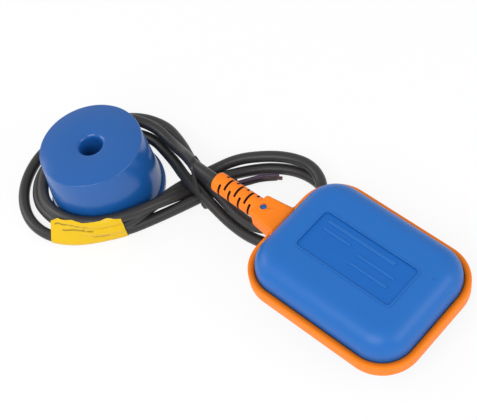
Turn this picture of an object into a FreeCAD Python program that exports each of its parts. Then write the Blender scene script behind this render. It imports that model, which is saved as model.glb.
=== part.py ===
"""Cable float switch: a sealed two-shell float with a ball-operated microswitch, its overmoulded rim
and cable boot, a counterweight standing beside it, and the cable lying in a tied figure of eight.

Frame: X runs along the float with the cable leaving towards -X, +Z is up, and the origin lies on the
table under the middle of the float and the counterweight. The float leans on its own cable, so
its pieces are modelled level round the middle of the joint plane and then placed at the lean.
"""
import FreeCAD, Part
import math
import os
from FreeCAD import Placement, Rotation, Vector

os.makedirs("parts", exist_ok=True)
doc = FreeCAD.newDocument("CableFloatSwitch")
sheet = doc.addObject("Spreadsheet::Sheet", "Sizes")

# Driving dimensions in millimetres and degrees: alias, value, what it is
DIMENSIONS = [
    ("float_length", 112.0, "over the rim, along the cable"),
    ("float_width", 87.2, "over the rim"),
    ("rim_corner", 23.8, "rim corner radius"),
    ("rim_height", 8.2, "rim from top to bottom"),
    ("rim_inset", 4.4, "rim edge to dome wall"),
    ("rim_round", 0.9, "rounding of the rim's outer edges"),
    ("groove_width", 0.9, "groove between rim and dome"),
    ("groove_depth", 1.0, "same groove"),
    ("dome_height", 19.0, "joint plane to dome top"),
    ("dome_round", 13.0, "rounding where dome side meets top"),
    ("shell_wall", 2.5, "dome wall"),
    ("flange_reach", 2.4, "flange past the dome wall, inside the rim"),
    ("flange_thick", 1.9, "one shell's flange"),
    ("plate_length", 64.0, "recessed nameplate"),
    ("plate_width", 27.0, "same plate"),
    ("plate_depth", 0.6, "same plate"),
    ("plate_corner", 2.5, "same plate"),
    ("seal_inset", 5.6, "rim edge to seal cord"),
    ("seal_size", 1.6, "square seal cord"),
    ("lean", 4.0, "float's lean, cable end up"),
    ("cable_size", 7.0, "cable diameter"),
    ("neck_size", 11.0, "shell neck diameter"),
    ("neck_reach", 15.5, "shell neck past the rim"),
    ("block_reach", 17.0, "boot shoulder past the rim"),
    ("block_root", 24.4, "boot block width at the rim"),
    ("block_tip", 15.5, "boot block width at the shoulder"),
    ("block_height", 12.6, "boot block height"),
    ("block_round", 1.2, "boot block edges"),
    ("pin_reach", 12.8, "moulding pin hole past the rim"),
    ("pin_size", 3.6, "moulding pin hole"),
    ("boot_reach", 50.0, "strain relief tip past the rim"),
    ("boot_root", 14.6, "strain relief diameter at the block"),
    ("boot_tip", 11.2, "strain relief diameter at the tip"),
    ("collar_length", 5.5, "unslotted tip collar"),
    ("slot_width", 2.1, "strain relief slot"),
    ("slot_core", 9.4, "diameter left in the slots"),
    ("slot_count", 4.0, "slots along each side"),
    ("slot_rib", 1.6, "half of the rib between opposite slots"),
    ("capsule_gap", 7.1, "sealed inner box to the dome wall, at its ends"),
    ("capsule_width", 45.0, "same box"),
    ("capsule_height", 24.0, "same box"),
    ("capsule_wall", 2.0, "same box"),
    ("capsule_corner", 5.0, "same box"),
    ("capsule_split", 6.5, "height of its lid joint"),
    ("gasket_thick", 0.8, "capsule gasket"),
    ("post_size", 7.0, "posts and screw bosses"),
    ("screw_size", 2.9, "screw shank"),
    ("screw_head", 5.2, "screw head diameter"),
    ("screw_head_height", 1.8, "same head"),
    ("head_slack", 0.2, "round and over a sunk screw head"),
    ("screw_depth", 8.0, "lid screw in the base"),
    ("switch_boss", 6.0, "boss under a microswitch screw"),
    ("case_depth", 15.9, "microswitch, along the float"),
    ("case_length", 27.8, "microswitch, across the float"),
    ("case_thick", 10.3, "microswitch, upward"),
    ("case_wall", 1.2, "microswitch wall"),
    ("core_room", 7.7, "sheath end to terminals"),
    ("case_hole", 3.1, "microswitch mounting hole"),
    ("case_hole_margin", 2.8, "mounting hole to the case's end"),
    ("case_hole_place", 5.0, "plunger face to mounting holes"),
    ("eye_wall", 1.2, "wall round a mounting hole"),
    ("lever_thick", 0.5, "actuating lever"),
    ("lever_width", 4.4, "same lever"),
    ("lever_gap", 1.9, "plunger face to lever"),
    ("lever_tip", 10.0, "lever past the ball's line"),
    ("pivot_size", 1.6, "lever pin"),
    ("plunger_margin", 5.0, "plunger to the closed contact's terminal"),
    ("plunger_size", 2.2, "plunger diameter"),
    ("plunger_length", 6.2, "plunger"),
    ("plunger_gap", 0.3, "plunger tip to lever"),
    ("plunger_slack", 0.1, "round the plunger"),
    ("eye_size", 3.0, "lever's rolled eye"),
    ("arm_width", 3.0, "lever bracket arm"),
    ("arm_thick", 0.9, "same arm"),
    ("blade_thick", 0.4, "moving contact"),
    ("blade_width", 3.0, "same contact"),
    ("blade_margin", 1.3, "its tip to the closed contact's leg"),
    ("blade_place", 4.2, "front wall to moving contact"),
    ("pivot_margin", 1.5, "its pin to the common terminal"),
    ("blade_eye", 1.6, "its rolled eye"),
    ("blade_bore", 0.9, "hole in the eye"),
    ("blade_pin", 0.8, "its pin"),
    ("terminal_reach", 6.4, "terminal past the case"),
    ("terminal_margin", 4.9, "outer terminal to the case's end"),
    ("terminal_thick", 0.6, "terminal strip"),
    ("terminal_width", 4.8, "same strip"),
    ("terminal_back", 2.5, "bent terminal's corner to the moving contact"),
    ("leg_thick", 0.7, "bent terminal leg"),
    ("leg_margin", 1.4, "closed contact's leg to its terminal"),
    ("finger_reach", 2.5, "closed contact's finger"),
    ("contact_gap", 0.5, "open contact to moving contact"),
    ("rest_gap", 0.1, "closed contact to moving contact"),
    ("ball_size", 14.0, "steel ball"),
    ("ball_gap", 0.3, "ball to its track and stops"),
    ("track_wall", 1.6, "ball track side"),
    ("track_slack", 0.5, "ball to track side"),
    ("track_height", 8.4, "same side"),
    ("track_start", 8.0, "plunger face to ball track"),
    ("bumper_thick", 2.0, "rubber stop"),
    ("bumper_height", 9.8, "same stop"),
    ("sheath_reach", 8.0, "sheath inside the capsule"),
    ("core_size", 2.3, "one insulated core"),
    ("clamp_thick", 2.0, "cable clamp"),
    ("clamp_width", 4.0, "along the cable"),
    ("clamp_margin", 1.0, "clamp beside the cable"),
    ("grommet_wall", 1.5, "rubber grommet round the cable"),
    ("grommet_flange", 1.0, "grommet lip past its body"),
    ("grommet_lip", 1.2, "lip thickness"),
    ("weight_reach", 122.6, "counterweight's middle past the rim"),
    ("weight_y", -31.1, "same, across the float"),
    ("weight_height", 45.0, "counterweight"),
    ("weight_top", 63.3, "diameter at the top"),
    ("weight_base", 69.8, "diameter above the flange"),
    ("weight_flange", 73.0, "base flange diameter"),
    ("flange_height", 3.0, "base flange"),
    ("weight_bore", 14.0, "hole for the cable"),
    ("weight_wall", 2.0, "its shell"),
    ("weight_round", 1.6, "its top edges"),
    ("bore_round", 1.3, "top edge of its hole"),
    ("flange_round", 0.6, "top edge of its flange"),
    ("tie_width", 3.2, "cable tie"),
    ("tie_thick", 1.0, "same tie"),
    ("tie_wide", 32.0, "tied bundle, across"),
    ("tie_high", 33.2, "tied bundle, upward"),
    ("tie_corner", 3.6, "tie's bends"),
    ("tie_reach", 71.1, "tie past the rim"),
    ("tie_y", 1.4, "same, across the float"),
    ("tie_turn", 37.0, "direction of the tied strands"),
    ("label_thick", 0.3, "wrapped label"),
    ("label_tail", 8.6, "label past the cable"),
    ("label_lean", 71.5, "label's free side above level"),
    ("lead_reach", 10.5, "cable straight out of the boot"),
    ("core_lead", 6.0, "core straight out of the sheath"),
    ("core_gap", 0.05, "core to the sheath's axis side"),
]
NAMES = [name for name, number, note in DIMENSIONS]

# Sizes that follow from the driving ones, measured from the float's middle
FORMULAS = {
    "capsule_length": "float_length - 2 * rim_inset - 2 * shell_wall - 2 * capsule_gap",
    "sheath_end": "capsule_length / 2 - sheath_reach",
    "case_front": "sheath_end - core_room - terminal_reach - case_depth",
    "case_pitch": "case_length - 2 * case_hole_margin",
    "lever_pivot": "case_length / 2 - arm_width / 2",
    "terminal_pitch": "case_length / 2 - terminal_margin",
    "plunger_place": "terminal_pitch - plunger_margin",
    "blade_pivot": "terminal_pitch - pivot_margin",
    "closed_leg": "terminal_pitch - leg_margin",
    "blade_length": "blade_pivot + closed_leg - blade_margin",
    "neck_end": "float_length / 2 + neck_reach",
    "block_end": "float_length / 2 + block_reach",
    "pin_place": "float_length / 2 + pin_reach",
    "boot_end": "float_length / 2 + boot_reach",
    "weight_x": "0 - float_length / 2 - weight_reach",
    "tie_x": "0 - float_length / 2 - tie_reach",
}
for row, (name, number, note) in enumerate(DIMENSIONS, start=1):
    sheet.set(f"A{row}", name)
    sheet.set(f"B{row}", str(number))
    sheet.setAlias(f"B{row}", name)
    sheet.set(f"C{row}", note)
doc.recompute()


def expression(words):
    """A formula on the sheet's cells, from words such as 'float_length / 2'."""
    parts = []
    for word in str(words).replace("(", "( ").replace(")", " )").split():
        if word in FORMULAS:
            parts.append(f"( {expression(FORMULAS[word])} )")
        else:
            parts.append(f"Sizes.{word}" if word in NAMES else word)
    return " ".join(parts)


def size(words):
    """The number that a formula on the sheet gives now."""
    result = sheet.evalExpression(expression(words))
    return float(getattr(result, "Value", result))


def bind(item, **formulas):
    for name, words in formulas.items():
        item.setExpression(name, expression(words))


TURNS = {
    "Z": Rotation(),
    "X": Rotation(Vector(0, 1, 0), 90),
}


def locate(item, x, y, z, along="Z"):
    item.Placement = Placement(Vector(), TURNS[along])
    for axis, words in zip("xyz", (x, y, z)):
        item.setExpression(f"Placement.Base.{axis}", expression(words))
    return item


def box(name, length, width, height, x, y, z):
    """A box whose middle is at x, y and whose foot is at z."""
    item = doc.addObject("Part::Box", name)
    bind(item, Length=length, Width=width, Height=height)
    return locate(item, f"( {x} ) - ( {length} ) / 2", f"( {y} ) - ( {width} ) / 2", z)


def cylinder(name, diameter, height, x, y, z, along="Z"):
    item = doc.addObject("Part::Cylinder", name)
    bind(item, Radius=f"( {diameter} ) / 2", Height=height)
    return locate(item, x, y, z, along)


def cone(name, foot, top, height, x, y, z, along="Z"):
    item = doc.addObject("Part::Cone", name)
    bind(item, Radius1=f"( {foot} ) / 2", Radius2=f"( {top} ) / 2", Height=height)
    return locate(item, x, y, z, along)


def sphere(name, diameter, x, y, z):
    item = doc.addObject("Part::Sphere", name)
    bind(item, Radius=f"( {diameter} ) / 2")
    return locate(item, x, y, z)


def fuse(name, *items):
    item = doc.addObject("Part::MultiFuse", name)
    item.Shapes = list(items)
    item.Refine = True
    return item


def cut(name, base, *tools):
    item = doc.addObject("Part::Cut", name)
    item.Base = base
    item.Tool = tools[0] if len(tools) == 1 else fuse(name + "Tools", *tools)
    item.Refine = True
    return item


def common(name, first, second):
    item = doc.addObject("Part::Common", name)
    item.Base = first
    item.Tool = second
    return item


def fillet(name, base, radius, wanted):
    """The base with each edge that wanted(edge) accepts rounded."""
    doc.recompute()
    item = doc.addObject("Part::Fillet", name)
    item.Base = base
    item.Edges = [
        (number, size(radius), size(radius))
        for number, edge in enumerate(base.Shape.Edges, start=1)
        if wanted(edge)
    ]
    return item


def upright(edge):
    box_of_edge = edge.BoundBox
    return max(box_of_edge.XLength, box_of_edge.YLength) < 1e-4 < box_of_edge.ZLength


def level_at(height):
    """A test for level edges at one height."""
    return lambda edge: (
        abs(edge.BoundBox.ZMin - height) < 1e-4 and abs(edge.BoundBox.ZMax - height) < 1e-4
    )


def rounded_block(name, length, width, height, corner, z):
    """A block centred on the float's axis with upright corners rounded."""
    block = box(name + "Block", length, width, height, "0", "0", z)
    return fillet(name, block, corner, upright)


pieces = {}


def piece(node, item, where=Placement()):
    """Names a finished sub-part and sets it in its place."""
    if item.TypeId in ("Part::Box", "Part::Cylinder", "Part::Sphere"):
        primitive = item
        item = doc.addObject("Part::Refine", node.title())
        item.Source = primitive
    item.Label = node
    item.Placement = where
    pieces[node] = item
    return item


# The float leans on the cable: its rounded lower edge at the far end touches the table
lean = math.radians(size("lean"))
flat_reach = size("float_length / 2 - rim_inset - dome_round")
centre_height = (
    size("dome_round")
    + flat_reach * math.sin(lean)
    + size("dome_height - dome_round") * math.cos(lean)
)
rim_edge = size("rim_round")
float_reach = (
    math.cos(lean) * (size("float_length") / 2 - rim_edge)
    + math.sin(lean) * (size("rim_height") / 2 - rim_edge)
    + rim_edge
)
middle_x = -(float_reach + size("weight_x - weight_flange / 2")) / 2
middle_y = -(size("float_width / 2") + size("weight_y - weight_flange / 2")) / 2
FLOAT = Placement(Vector(middle_x, middle_y, centre_height), Rotation(Vector(0, 1, 0), size("lean")))
TABLE = Placement(Vector(middle_x, middle_y, 0), Rotation())

# Outlines shared by the shells, the rim and the seal
DOME_LENGTH = "float_length - 2 * rim_inset"
DOME_WIDTH = "float_width - 2 * rim_inset"
DOME_CORNER = "rim_corner - rim_inset"
FLANGE_LENGTH = f"{DOME_LENGTH} + 2 * flange_reach"
FLANGE_WIDTH = f"{DOME_WIDTH} + 2 * flange_reach"
FLANGE_CORNER = f"{DOME_CORNER} + flange_reach"
CAVITY_LENGTH = f"{DOME_LENGTH} - 2 * shell_wall"
CAVITY_WIDTH = f"{DOME_WIDTH} - 2 * shell_wall"
CAVITY_CORNER = f"{DOME_CORNER} - shell_wall"
POST_PLACES = (("0.35", "0.3"), ("0.35", "-0.3"), ("-0.35", "0.3"), ("-0.35", "-0.3"))


def seal_ring(name, growth):
    """The closed seal cord round the joint, or its groove when growth is more than nothing."""
    outer_inset = f"2 * ( seal_inset - {growth} )"
    inner_inset = f"2 * ( seal_inset + seal_size + {growth} )"
    height = f"seal_size + 2 * {growth}"
    foot = f"0 - seal_size / 2 - {growth}"
    outer = rounded_block(
        name + "Outer", f"float_length - {outer_inset}", f"float_width - {outer_inset}", height,
        f"rim_corner - seal_inset + {growth}", foot,
    )
    inner = rounded_block(
        name + "Inner", f"float_length - {inner_inset}", f"float_width - {inner_inset}", height,
        f"rim_corner - seal_inset - seal_size - {growth}", foot,
    )
    return cut(name, outer, inner)


def float_shell(name, side):
    """One half of the float, above the joint plane (side 1) or below it (side -1)."""
    sign = "" if side > 0 else "0 - "
    dome_foot = "0" if side > 0 else "0 - dome_height"
    hollow_foot = "0" if side > 0 else "0 - ( dome_height - shell_wall )"
    flange_foot = "0" if side > 0 else "0 - flange_thick"
    dome = fillet(
        name + "Dome",
        rounded_block(name + "Solid", DOME_LENGTH, DOME_WIDTH, "dome_height", DOME_CORNER, dome_foot),
        "dome_round",
        level_at(side * size("dome_height")),
    )
    hollow = fillet(
        name + "Hollow",
        rounded_block(
            name + "Inside", CAVITY_LENGTH, CAVITY_WIDTH, "dome_height - shell_wall", CAVITY_CORNER,
            hollow_foot,
        ),
        "dome_round - shell_wall",
        level_at(side * size("dome_height - shell_wall")),
    )
    flange = rounded_block(
        name + "Flange", FLANGE_LENGTH, FLANGE_WIDTH, "flange_thick", FLANGE_CORNER, flange_foot
    )
    neck_start = f"( {DOME_LENGTH} ) / 2 - shell_wall"
    neck = cylinder(
        name + "Neck", "neck_size", f"neck_end - ( {neck_start} )", "0 - neck_end", "0", "0", "X"
    )
    half = box(
        name + "Half", "2 * float_length", "float_width", "dome_height", "0", "0",
        "0" if side > 0 else "0 - dome_height",
    )
    half_neck = common(name + "HalfNeck", neck, half)
    bore = cylinder(
        name + "Bore", "cable_size", "neck_end", "0 - neck_end", "0", "0", "X"
    )
    posts = []
    for number, (along, across) in enumerate(POST_PLACES):
        post_height = "dome_height - shell_wall / 2 - capsule_height / 2"
        post_foot = "capsule_height / 2" if side > 0 else f"0 - capsule_height / 2 - ( {post_height} )"
        posts.append(
            cylinder(
                f"{name}Post{number}", "post_size", post_height, f"{along} * capsule_length",
                f"{across} * capsule_width", post_foot,
            )
        )
    shell = cut(name + "Shell", fuse(name + "Walls", dome, flange, half_neck), hollow, bore)
    return cut(name + "Grooved", fuse(name + "WithPosts", shell, *posts), seal_ring(name + "Groove", "0"))


upper = float_shell("Upper", 1)
plate = rounded_block(
    "Plate", "plate_length", "plate_width", "plate_depth", "plate_corner", "dome_height - plate_depth"
)
piece("upper_shell", cut("UpperPlated", upper, plate), FLOAT)
piece("lower_shell", float_shell("Lower", -1), FLOAT)
cable_gap = cylinder("CableGap", "cable_size", "float_length", "0 - float_length", "0", "0", "X")
piece("joint_seal", cut("JointSealOpen", seal_ring("JointSeal", "0"), cable_gap), FLOAT)


# The rim, cable block and slotted strain relief are moulded over the joined shells in one piece
def boot_block():
    """The tapered block between the rim and the strain relief."""
    root = "float_length / 2 - rim_inset"
    block = doc.addObject("Part::Wedge", "BootBlock")
    bind(
        block, Xmin="0 - block_root / 2", Xmax="block_root / 2", X2min="0 - block_tip / 2",
        X2max="block_tip / 2", Ymin="0", Ymax=f"block_end - ( {root} )", Zmin="0 - block_height / 2",
        Zmax="block_height / 2", Z2min="0 - block_height / 2", Z2max="block_height / 2",
    )
    block.Placement = Placement(Vector(), Rotation(Vector(0, 0, 1), 90))
    block.setExpression("Placement.Base.x", expression(f"0 - ( {root} )"))
    far_end = -size("block_end")
    return fillet(
        "BootBlockRounded", block, "block_round",
        lambda edge: edge.BoundBox.XMin < far_end + 1e-4,
    )


def strain_relief():
    """The tapered sleeve with staggered slots down to its core."""
    length = size("boot_end - block_end - collar_length")
    sleeve = cone(
        "Sleeve", "boot_tip", "boot_root", "boot_end - block_end", "0 - boot_end", "0", "0", "X"
    )
    core = cylinder("SleeveCore", "slot_core", "boot_end", "0 - boot_end", "0", "0", "X")
    slots = []
    count = int(round(size("slot_count")))
    for number in range(2 * count):
        place = f"0 - block_end - {length / (2 * count)} * {number + 0.5}"
        for side in (1, -1):
            name = f"Slot{number}{'Front' if side > 0 else 'Back'}"
            if number % 2:
                foot = "slot_rib" if side > 0 else "0 - slot_rib - boot_root"
                slot = box(name, "slot_width", "boot_root * 2", "boot_root", place, "0", foot)
            else:
                middle = f"{side} * ( boot_root / 2 + slot_rib )"
                slot = box(name, "slot_width", "boot_root", "boot_root * 2", place, middle, "0 - boot_root")
            slots.append(slot)
    removed = cut("SleeveSlots", fuse("SlotBlocks", *slots), core)
    return cut("SleeveSlotted", sleeve, removed)


rim_block = rounded_block(
    "RimBlock", "float_length", "float_width", "rim_height", "rim_corner", "0 - rim_height / 2"
)
rim_rounded = fillet(
    "RimRounded", rim_block, "rim_round",
    lambda edge: level_at(size("rim_height / 2"))(edge) or level_at(-size("rim_height / 2"))(edge),
)
rim_hole = rounded_block(
    "RimHole", DOME_LENGTH, DOME_WIDTH, "2 * rim_height", DOME_CORNER, "0 - rim_height"
)
rim_channel = rounded_block(
    "RimChannel", FLANGE_LENGTH, FLANGE_WIDTH, "2 * flange_thick", FLANGE_CORNER, "0 - flange_thick"
)
groove_grows = (f"{DOME_LENGTH} + 2 * groove_width", f"{DOME_WIDTH} + 2 * groove_width")
rim_grooves = [
    rounded_block(
        f"RimGroove{number}", *groove_grows, "groove_depth", f"{DOME_CORNER} + groove_width", foot
    )
    for number, foot in enumerate(("rim_height / 2 - groove_depth", "0 - rim_height / 2"))
]
neck_room = cylinder("NeckRoom", "neck_size", "neck_end", "0 - neck_end", "0", "0", "X")
cable_room = cylinder("CableRoom", "cable_size", "boot_end", "0 - boot_end", "0", "0", "X")
pin_hole = cylinder(
    "PinHole", "pin_size", "block_height", "0 - pin_place", "0", "0"
)
overmould = fuse("Overmould", rim_rounded, boot_block(), strain_relief())
piece(
    "rim_and_boot",
    cut("RimAndBoot", overmould, rim_hole, rim_channel, *rim_grooves, neck_room, cable_room, pin_hole),
    FLOAT,
)

# Sealed capsule between the shells' posts, holding the switch and the ball
CAPSULE_FOOT = "0 - capsule_height / 2"
FLOOR = "0 - capsule_height / 2 + capsule_wall"
LID_FOOT = "capsule_split + gasket_thick"
INNER_LENGTH = "capsule_length - 2 * capsule_wall"
INNER_WIDTH = "capsule_width - 2 * capsule_wall"
BALL_HEIGHT = f"{FLOOR} + ball_size / 2 + ball_gap"
CASE_FOOT = f"{BALL_HEIGHT} - case_thick / 2"
CASE_MIDDLE = "0 - case_front - case_depth / 2"
HOLE_LINE = "0 - case_front - case_hole_place"
CORNER_X = "capsule_length / 2 - capsule_wall / 2 - post_size / 2"
CORNER_Y = "capsule_width / 2 - capsule_wall / 2 - post_size / 2"
CORNERS = [
    (f"{along} * ( {CORNER_X} )", f"{across} * ( {CORNER_Y} )")
    for along in ("1", "-1")
    for across in ("1", "-1")
]


def capsule_ring(name, height, foot):
    """A wall of the capsule's outline, as high as asked."""
    outer = rounded_block(name + "Out", "capsule_length", "capsule_width", height, "capsule_corner", foot)
    inner = rounded_block(
        name + "In", INNER_LENGTH, INNER_WIDTH, height, "capsule_corner - capsule_wall", foot
    )
    return cut(name, outer, inner)


def corner_columns(name, diameter, height, foot):
    return [
        cylinder(f"{name}{number}", diameter, height, x, y, foot) for number, (x, y) in enumerate(CORNERS)
    ]


base_height = f"capsule_split - ( {CAPSULE_FOOT} )"
base_floor = rounded_block(
    "BaseFloor", "capsule_length", "capsule_width", "capsule_wall", "capsule_corner", CAPSULE_FOOT
)
base_wall = capsule_ring("BaseWall", base_height, CAPSULE_FOOT)
boss_height = f"capsule_split - ( {FLOOR} )"
TRACK_START = "track_start - ( case_front )"
track_length = f"capsule_length / 2 - capsule_wall - ( {TRACK_START} )"
track_sides = [
    box(
        f"TrackSide{number}", track_length, "track_wall", "track_height",
        f"{TRACK_START} + ( {track_length} ) / 2",
        f"{side} * ( ball_size / 2 + track_slack + track_wall / 2 )", FLOOR,
    )
    for number, side in enumerate(("1", "-1"))
]
switch_bosses = [
    cylinder(
        f"SwitchBoss{number}", "switch_boss", f"{CASE_FOOT} - ( {FLOOR} )", HOLE_LINE,
        f"{side} * case_pitch / 2", FLOOR,
    )
    for number, side in enumerate(("1", "-1"))
]
CLAMP_SPAN = "2 * ( cable_size + clamp_margin )"
clamp_seat = box(
    "ClampSeat", "clamp_width", CLAMP_SPAN, f"0 - cable_size / 2 - ( {FLOOR} )",
    "0 - sheath_end - clamp_width / 2", "0", FLOOR,
)
base_solid = fuse(
    "BaseSolid", base_floor, base_wall, *corner_columns("BaseBoss", "post_size", boss_height, FLOOR),
    *track_sides, *switch_bosses, clamp_seat,
)
GROMMET_SIZE = "cable_size + 2 * grommet_wall"
cable_entry = cylinder(
    "CableEntry", GROMMET_SIZE, "capsule_wall * 2", "0 - capsule_length / 2 - capsule_wall / 2", "0",
    "0", "X",
)
base_holes = corner_columns("BaseHole", "screw_size", "screw_depth", "capsule_split - screw_depth")
piece("capsule_base", cut("CapsuleBase", base_solid, cable_entry, *base_holes), FLOAT)

lid_top = rounded_block(
    "LidTop", "capsule_length", "capsule_width", "capsule_wall", "capsule_corner",
    "capsule_height / 2 - capsule_wall",
)
lid_wall = capsule_ring("LidWall", f"capsule_height / 2 - ( {LID_FOOT} )", LID_FOOT)
lid_bosses = corner_columns("LidBoss", "post_size", f"capsule_height / 2 - ( {LID_FOOT} )", LID_FOOT)
lid_holes = corner_columns("LidHole", "screw_size", "capsule_height", "0")
lid_sinks = corner_columns(
    "LidSink", "screw_head + 2 * head_slack", "screw_head_height + head_slack",
    "capsule_height / 2 - screw_head_height - head_slack",
)
piece(
    "capsule_lid",
    cut("CapsuleLid", fuse("LidSolid", lid_top, lid_wall, *lid_bosses), *lid_holes, *lid_sinks),
    FLOAT,
)
gasket = fuse(
    "GasketSolid", capsule_ring("GasketWall", "gasket_thick", "capsule_split"),
    *corner_columns("GasketEye", "post_size", "gasket_thick", "capsule_split"),
)
piece(
    "capsule_gasket",
    cut("CapsuleGasket", gasket, *corner_columns("GasketHole", "screw_size", "capsule_height", "0")),
    FLOAT,
)


def screws(name, places, top, shank):
    """Pan-head screws whose heads end at one height."""
    parts = []
    for number, (x, y) in enumerate(places):
        head = cylinder(
            f"{name}Head{number}", "screw_head", "screw_head_height", x, y, f"{top} - screw_head_height"
        )
        stem = cylinder(
            f"{name}Stem{number}", "screw_size", shank, x, y, f"{top} - screw_head_height - ( {shank} )"
        )
        parts.append(fuse(f"{name}{number}", head, stem))
    group = doc.addObject("Part::Compound", name)
    group.Links = parts
    return group


lid_shank = "capsule_height / 2 - screw_head_height - head_slack - capsule_split + screw_depth"
lid_screws = screws("LidScrew", CORNERS, "capsule_height / 2 - head_slack", lid_shank)
piece("capsule_screws", lid_screws, FLOAT)

# Grommet, clamp and cable end inside the capsule
grommet = cylinder(
    "GrommetBody", GROMMET_SIZE, "capsule_wall", "0 - capsule_length / 2", "0", "0", "X"
)
grommet_lip = cylinder(
    "GrommetLip", f"{GROMMET_SIZE} + 2 * grommet_flange", "grommet_lip",
    "0 - capsule_length / 2 - grommet_lip", "0", "0", "X",
)
grommet_bore = cylinder(
    "GrommetBore", "cable_size", "4 * capsule_wall", "0 - capsule_length / 2 - 2 * capsule_wall", "0",
    "0", "X",
)
piece("cable_grommet", cut("Grommet", fuse("GrommetSolid", grommet, grommet_lip), grommet_bore), FLOAT)

CLAMP_X = "0 - sheath_end - clamp_width / 2"
clamp_bar = box(
    "ClampBar", "clamp_width", CLAMP_SPAN, "cable_size / 2 + clamp_thick", CLAMP_X, "0", "0"
)
clamp_arch = cylinder(
    "ClampArch", "cable_size", "clamp_width", "0 - sheath_end - clamp_width", "0", "0", "X"
)
piece("cable_clamp", cut("CableClamp", clamp_bar, clamp_arch), FLOAT)
cable_inside = cylinder(
    "CableInside", "cable_size", "boot_end - sheath_end", "0 - boot_end", "0", "0", "X"
)
piece("cable_inside", cable_inside, FLOAT)

# Microswitch: case, cover, contacts and terminals
case_block = box(
    "CaseBlock", "case_depth", "case_length", "case_thick - case_wall", CASE_MIDDLE, "0", CASE_FOOT
)
case_hollow = box(
    "CaseHollow", "case_depth - 2 * case_wall", "case_length - 2 * case_wall", "case_thick", CASE_MIDDLE,
    "0", f"{CASE_FOOT} + case_wall",
)
case_eyes = [
    cylinder(
        f"CaseEye{number}", "case_hole + 2 * eye_wall", "case_thick - case_wall", HOLE_LINE,
        f"{side} * case_pitch / 2", CASE_FOOT,
    )
    for number, side in enumerate(("1", "-1"))
]
case_holes = [
    cylinder(
        f"CaseHole{number}", "case_hole", "case_thick * 2", HOLE_LINE, f"{side} * case_pitch / 2",
        f"{CASE_FOOT} - case_thick / 2",
    )
    for number, side in enumerate(("1", "-1"))
]
plunger_hole = cylinder(
    "PlungerHole", "plunger_size + 2 * plunger_slack", "case_wall * 3", "0 - case_front - case_wall * 2",
    "0 - plunger_place", BALL_HEIGHT, "X",
)
TERMINALS = [f"{place} * terminal_pitch" for place in ("1", "0", "-1")]
TERMINAL_FOOT = f"{BALL_HEIGHT} - terminal_width / 2"
terminal_slots = [
    box(
        f"TerminalSlot{number}", "case_wall * 3", "terminal_thick", "terminal_width",
        "0 - case_front - case_depth", place, TERMINAL_FOOT,
    )
    for number, place in enumerate(TERMINALS)
]
walls = fuse("CaseWalls", cut("CaseTray", case_block, case_hollow), *case_eyes)
piece(
    "switch_case", cut("SwitchCase", walls, *case_holes, plunger_hole, *terminal_slots), FLOAT
)
cover = box(
    "CoverPlate", "case_depth", "case_length", "case_wall", CASE_MIDDLE, "0",
    f"{CASE_FOOT} + case_thick - case_wall",
)
piece(
    "switch_cover",
    cut(
        "SwitchCover", cover,
        *[
            cylinder(
                f"CoverHole{number}", "case_hole", "case_thick * 2", HOLE_LINE,
                f"{side} * case_pitch / 2", CASE_FOOT,
            )
            for number, side in enumerate(("1", "-1"))
        ],
    ),
    FLOAT,
)
screw_places = [(HOLE_LINE, f"{side} * case_pitch / 2") for side in ("1", "-1")]
piece(
    "switch_screws",
    screws("SwitchScrew", screw_places, f"{CASE_FOOT} + case_thick + screw_head_height", "case_thick"),
    FLOAT,
)
BLADE_X = "0 - case_front - case_wall - blade_place"
BLADE_FOOT = f"{BALL_HEIGHT} - blade_width / 2"
TERMINAL_END = f"{BLADE_X} - terminal_back"


def terminal(name, inner_end, place):
    """A flat strip through the case's back wall, from its solder end to inner_end."""
    outer_end = "( 0 - case_front - case_depth - terminal_reach )"
    return box(
        name, f"( {inner_end} ) - {outer_end}", "terminal_thick", "terminal_width",
        f"( ( {inner_end} ) + {outer_end} ) / 2", place, TERMINAL_FOOT,
    )


def terminal_corner(name, leg, side):
    """The bend that leads from a terminal's strip to a leg nearer the ball's line."""
    outer = "( terminal_pitch + terminal_thick / 2 )"
    return box(
        name, "leg_thick", f"{outer} - ( {leg} )", "terminal_width", f"{TERMINAL_END} - leg_thick / 2",
        f"{side} * ( {outer} + {leg} ) / 2", TERMINAL_FOOT,
    )


common_arms = [
    box(
        f"CommonArm{number}", "terminal_back + leg_thick + blade_pin / 2", "blade_pin", "leg_thick",
        f"{BLADE_X} + blade_pin / 2 - ( terminal_back + leg_thick + blade_pin / 2 ) / 2", "blade_pivot",
        foot,
    )
    for number, foot in enumerate((TERMINAL_FOOT, f"{TERMINAL_FOOT} + terminal_width - leg_thick"))
]
blade_pin = cylinder("BladePin", "blade_pin", "terminal_width", BLADE_X, "blade_pivot", TERMINAL_FOOT)
terminal_common = fuse(
    "TerminalCommon", terminal("CommonStrip", TERMINAL_END, TERMINALS[0]),
    terminal_corner("CommonCorner", "blade_pivot - blade_pin / 2", "1"), blade_pin, *common_arms,
)
piece("terminal_common", terminal_common, FLOAT)
open_end = f"{BLADE_X} - blade_thick / 2 - contact_gap"
piece("terminal_open", terminal("OpenStrip", open_end, TERMINALS[1]), FLOAT)
FINGER_X = f"{BLADE_X} + blade_thick + rest_gap"
closed_length = "terminal_back + leg_thick + blade_thick / 2 + rest_gap + blade_thick"
closed_leg = box(
    "ClosedLeg", closed_length, "terminal_thick", "blade_width",
    f"{TERMINAL_END} - leg_thick + ( {closed_length} ) / 2", "0 - closed_leg", BLADE_FOOT,
)
closed_finger = box(
    "ClosedFinger", "blade_thick", "finger_reach", "blade_width", FINGER_X,
    "0 - closed_leg - terminal_thick / 2 + finger_reach / 2", BLADE_FOOT,
)
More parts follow.
